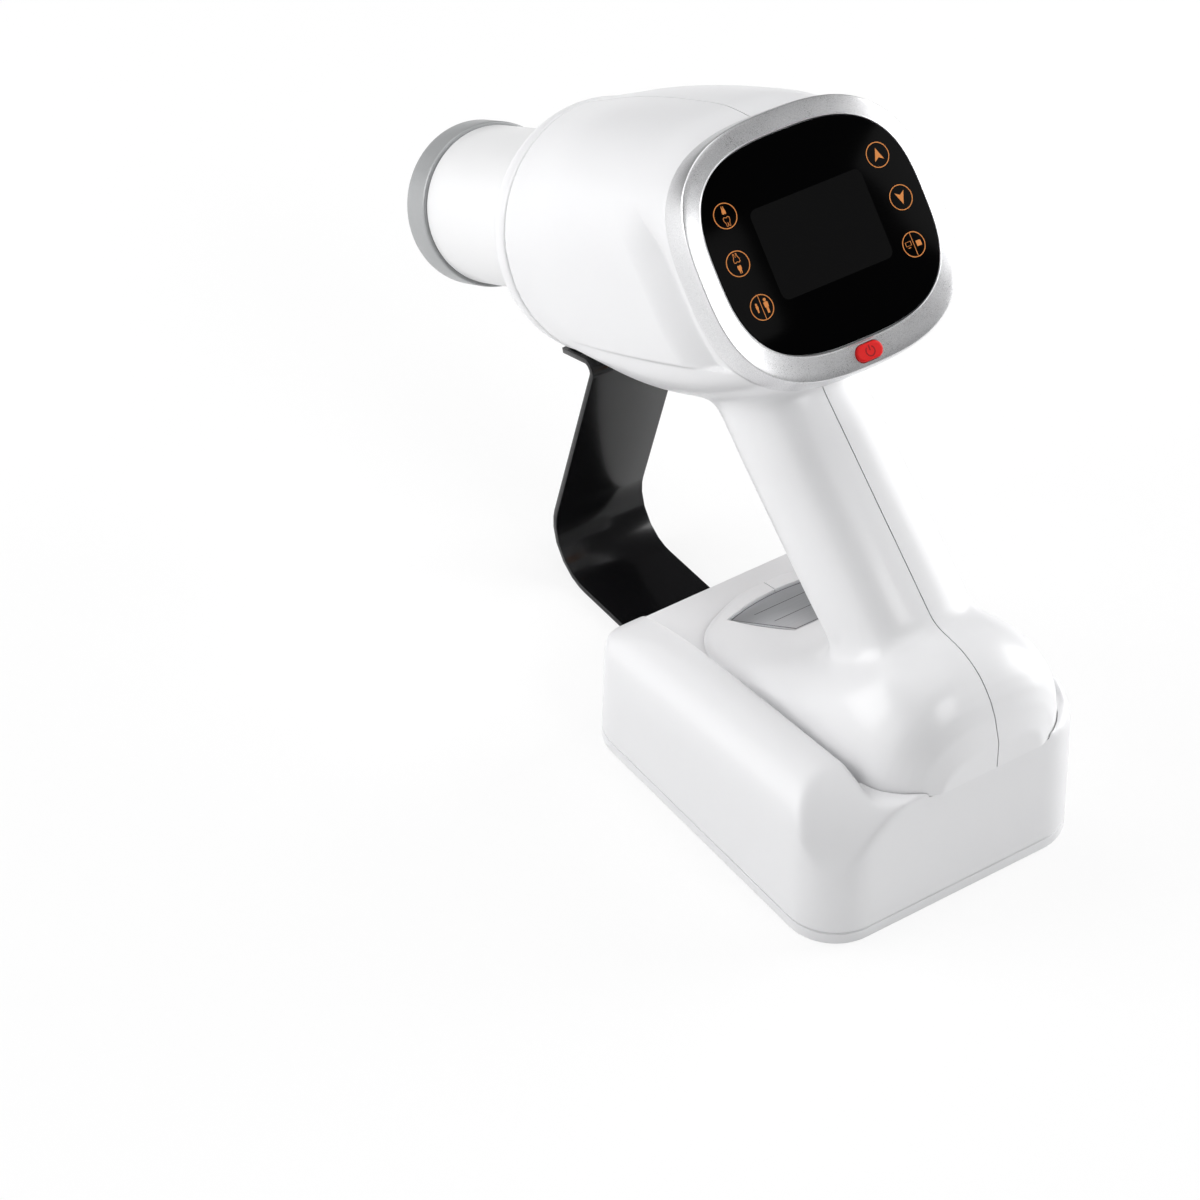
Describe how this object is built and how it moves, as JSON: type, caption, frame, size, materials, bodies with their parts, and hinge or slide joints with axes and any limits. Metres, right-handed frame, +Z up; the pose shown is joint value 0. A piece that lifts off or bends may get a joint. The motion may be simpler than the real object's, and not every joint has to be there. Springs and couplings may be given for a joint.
{
  "type": "handheld dental x-ray unit",
  "caption": "Cordless handheld dental x-ray unit: head with a beam cone and a rear touch display, leaning grip with trigger, flat battery base and a bent metal strap.",
  "frame": {"origin": "on the base's underside, in the plane where the two housing halves part, half way along the base", "axes": "+Z up, +Y the way the beam points, +X the operator's right"},
  "size_m": [0.1319, 0.3651, 0.264],
  "materials": {
    "white_shell": "gloss white moulding",
    "grey_ring": "satin grey ring",
    "silver_bezel": "silver metallic paint with a fine grain",
    "black_glass": "gloss black cover glass",
    "red_button": "gloss red",
    "orange_trigger": "gloss orange",
    "strap_black": "gloss black paint",
    "rating_plate": "brushed",
    "dark_plastic": "matte",
    "lead": "dull grey",
    "aluminium": "satin",
    "circuit_board": "solder mask",
    "steel": "plain",
    "cell_wrap": "shrink wrap over a metal can",
    "rubber": "matte"
  },
  "bodies": {
    "unit": {"housing_left": "white_shell", "housing_right": "white_shell", "nose_collar": "white_shell", "cone_tube": "white_shell", "base_tub": "white_shell", "base_plate": "white_shell", "cone_end_ring": "grey_ring", "display_bezel": "silver_bezel", "display_panel": "black_glass", "support_strap": "strap_black", "rating_plate": "rating_plate", "charge_jack": "dark_plastic", "front_bulkhead": "dark_plastic", "buzzer": "dark_plastic", "lcd_module": "dark_plastic", "power_switch": "dark_plastic", "trigger_switch": "dark_plastic", "battery_tray": "dark_plastic", "power_harness": "dark_plastic", "cone_liner": "lead", "filter_window": "aluminium", "generator_tank": "aluminium", "main_board": "circuit_board", "control_board": "circuit_board", "charge_board": "circuit_board", "trigger_bracket": "steel", "trigger_pin": "steel", "trigger_spring": "steel", "display_screw_1": "steel", "display_screw_2": "steel", "display_screw_3": "steel", "display_screw_4": "steel", "base_screw_1": "steel", "base_screw_2": "steel", "base_screw_3": "steel", "base_screw_4": "steel", "foot_screw_1": "steel", "foot_screw_2": "steel", "foot_screw_3": "steel", "foot_screw_4": "steel", "strap_screw_1": "steel", "strap_screw_2": "steel", "strap_end_screw_1": "steel", "strap_end_screw_2": "steel", "battery_cell_1": "cell_wrap", "battery_cell_2": "cell_wrap", "battery_cell_3": "cell_wrap", "battery_cell_4": "cell_wrap", "rubber_foot_1": "rubber", "rubber_foot_2": "rubber", "rubber_foot_3": "rubber", "rubber_foot_4": "rubber"},
    "trigger": {"trigger": "orange_trigger"},
    "power_button": {"power_button": "red_button"}
  },
  "joints": [
    {"name": "trigger_pull", "type": "hinge", "parent": "unit", "child": "trigger", "pos_m": [0, 0.06875, 0.13748], "axis": [-1, 0, 0], "range_deg": [0, 8], "stiffness_Nm_per_rad": 0.25, "springref_deg": -4.58},
    {"name": "power_press", "type": "slide", "parent": "unit", "child": "power_button", "axis": [0, 0.742, -0.6704], "range_m": [0, 0.0008], "stiffness_N_per_m": 600, "springref_m": -0.001}
  ]
}
